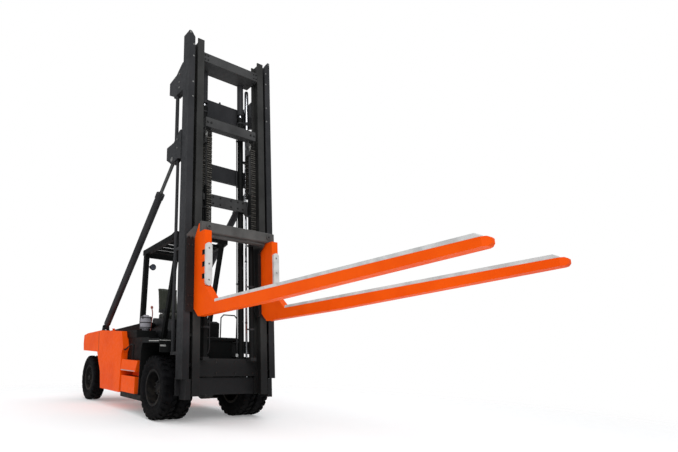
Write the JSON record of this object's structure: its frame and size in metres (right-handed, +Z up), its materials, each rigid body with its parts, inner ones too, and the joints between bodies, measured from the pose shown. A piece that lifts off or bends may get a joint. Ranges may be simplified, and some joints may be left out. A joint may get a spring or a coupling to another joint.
{
  "type": "marina forklift",
  "caption": "Counterbalanced marina forklift with dual drive wheels, rear steering, a tall two-stage tilting mast and long box-section boat forks",
  "frame": {"origin": "under the middle of the machine on the ground, at the bottom centre of the bounding box", "axes": "+X points forwards along the forks, +Y to the operator's left, +Z up"},
  "size_m": [10.7118, 2.19, 7.3726],
  "materials": {
    "black_paint": "satin",
    "orange_paint": "satin",
    "dark_cast": "matte",
    "tyre_rubber": "matte",
    "rim_paint": "satin",
    "seat_cloth": "matte",
    "chrome_rod": "polished",
    "silver_paint": "satin",
    "chain_steel": "oiled",
    "pale_pad": "matte",
    "dark_plastic": "matte"
  },
  "bodies": {
    "chassis": {"frame": "black_paint", "counterweight": "orange_paint", "tilt_feet": "black_paint", "side_lockers": "black_paint", "radiator_grille": "black_paint", "hood": "black_paint", "engine_block": "dark_cast", "drive_axle": "dark_cast", "steer_axle": "dark_cast", "fenders": "black_paint", "deck": "black_paint", "steps": "orange_paint", "console": "dark_plastic", "seat_base": "black_paint", "seat_cushion": "seat_cloth", "seat_back": "seat_cloth", "steering_wheel": "dark_plastic", "overhead_guard": "black_paint", "air_cleaner": "silver_paint", "handrails": "black_paint"},
    "front_wheels_left": {"front_tyres_left": "tyre_rubber", "front_rims_left": "rim_paint"},
    "front_wheels_right": {"front_tyres_right": "tyre_rubber", "front_rims_right": "rim_paint"},
    "knuckle_left": {"rear_knuckle_left": "dark_cast"},
    "knuckle_right": {"rear_knuckle_right": "dark_cast"},
    "rear_wheel_left": {"rear_tyre_left": "tyre_rubber", "rear_rim_left": "rim_paint"},
    "rear_wheel_right": {"rear_tyre_right": "tyre_rubber", "rear_rim_right": "rim_paint"},
    "mast_outer": {"outer_rails": "black_paint", "outer_ties": "black_paint", "lift_barrels": "black_paint", "mast_pipes": "black_paint"},
    "mast_inner": {"inner_rails": "black_paint", "inner_bars": "black_paint", "lift_rods": "chrome_rod", "ram_barrels": "black_paint"},
    "crosshead_body": {"crosshead": "black_paint", "chains": "chain_steel"},
    "carriage_body": {"carriage": "black_paint", "fork_left": "orange_paint", "fork_right": "orange_paint", "fork_pads": "pale_pad"},
    "tilt_barrel_body": {"tilt_barrels": "black_paint"},
    "tilt_rod_body": {"tilt_rods": "chrome_rod"}
  },
  "joints": [
    {"name": "front_wheels_left_spin", "type": "hinge", "parent": "chassis", "child": "front_wheels_left", "pos_m": [-0.77592, 0.815, 0.56], "axis": [0, 1, 0], "continuous": true},
    {"name": "front_wheels_right_spin", "type": "hinge", "parent": "chassis", "child": "front_wheels_right", "pos_m": [-0.77592, -0.815, 0.56], "axis": [0, 1, 0], "continuous": true},
    {"name": "steer_right", "type": "hinge", "parent": "chassis", "child": "knuckle_right", "pos_m": [-4.62592, -0.7, 0.515], "axis": [0, 0, 1], "range_deg": [-55, 55]},
    {"name": "steer_left", "type": "hinge", "parent": "chassis", "child": "knuckle_left", "pos_m": [-4.62592, 0.7, 0.515], "axis": [0, 0, 1], "range_deg": [-55, 55]},
    {"name": "rear_wheel_right_spin", "type": "hinge", "parent": "knuckle_right", "child": "rear_wheel_right", "pos_m": [-4.62592, -0.905, 0.515], "axis": [0, 1, 0], "continuous": true},
    {"name": "rear_wheel_left_spin", "type": "hinge", "parent": "knuckle_left", "child": "rear_wheel_left", "pos_m": [-4.62592, 0.905, 0.515], "axis": [0, 1, 0], "continuous": true},
    {"name": "mast_tilt", "type": "hinge", "parent": "chassis", "child": "mast_outer", "pos_m": [-0.47592, 0, 0.6], "axis": [0, 1, 0], "range_deg": [-6.5, 8.4]},
    {"name": "mast_lift", "type": "slide", "parent": "mast_outer", "child": "mast_inner", "axis": [-0.0599, 0, 0.9982], "range_m": [0, 4.2]},
    {"name": "carriage_lift", "type": "slide", "parent": "mast_inner", "child": "carriage_body", "axis": [-0.0599, 0, 0.9982], "range_m": [-1.65, 2.3]},
    {"name": "crosshead_lift", "type": "slide", "parent": "mast_inner", "child": "crosshead_body", "axis": [-0.0599, 0, 0.9982], "range_m": [-0.83, 1.16]},
    {"name": "tilt_barrel_swing", "type": "hinge", "parent": "chassis", "child": "tilt_barrel_body", "pos_m": [-3.96592, 0, 1.7], "axis": [0, 1, 0], "range_deg": [-4.02, 5.18]},
    {"name": "tilt_rod_slide", "type": "slide", "parent": "tilt_barrel_body", "child": "tilt_rod_body", "axis": [0.7195, 0, 0.6945], "range_m": [-0.365, 0.471]}
  ],
  "couplings": [
    {"joint": "steer_left", "follows": "steer_right", "ratio": 1},
    {"joint": "crosshead_lift", "follows": "carriage_lift", "ratio": 0.5},
    {"joint": "tilt_barrel_swing", "follows": "mast_tilt", "ratio": 0.60956},
    {"joint": "tilt_rod_slide", "follows": "mast_tilt", "m_per_rad": 3.1967}
  ]
}
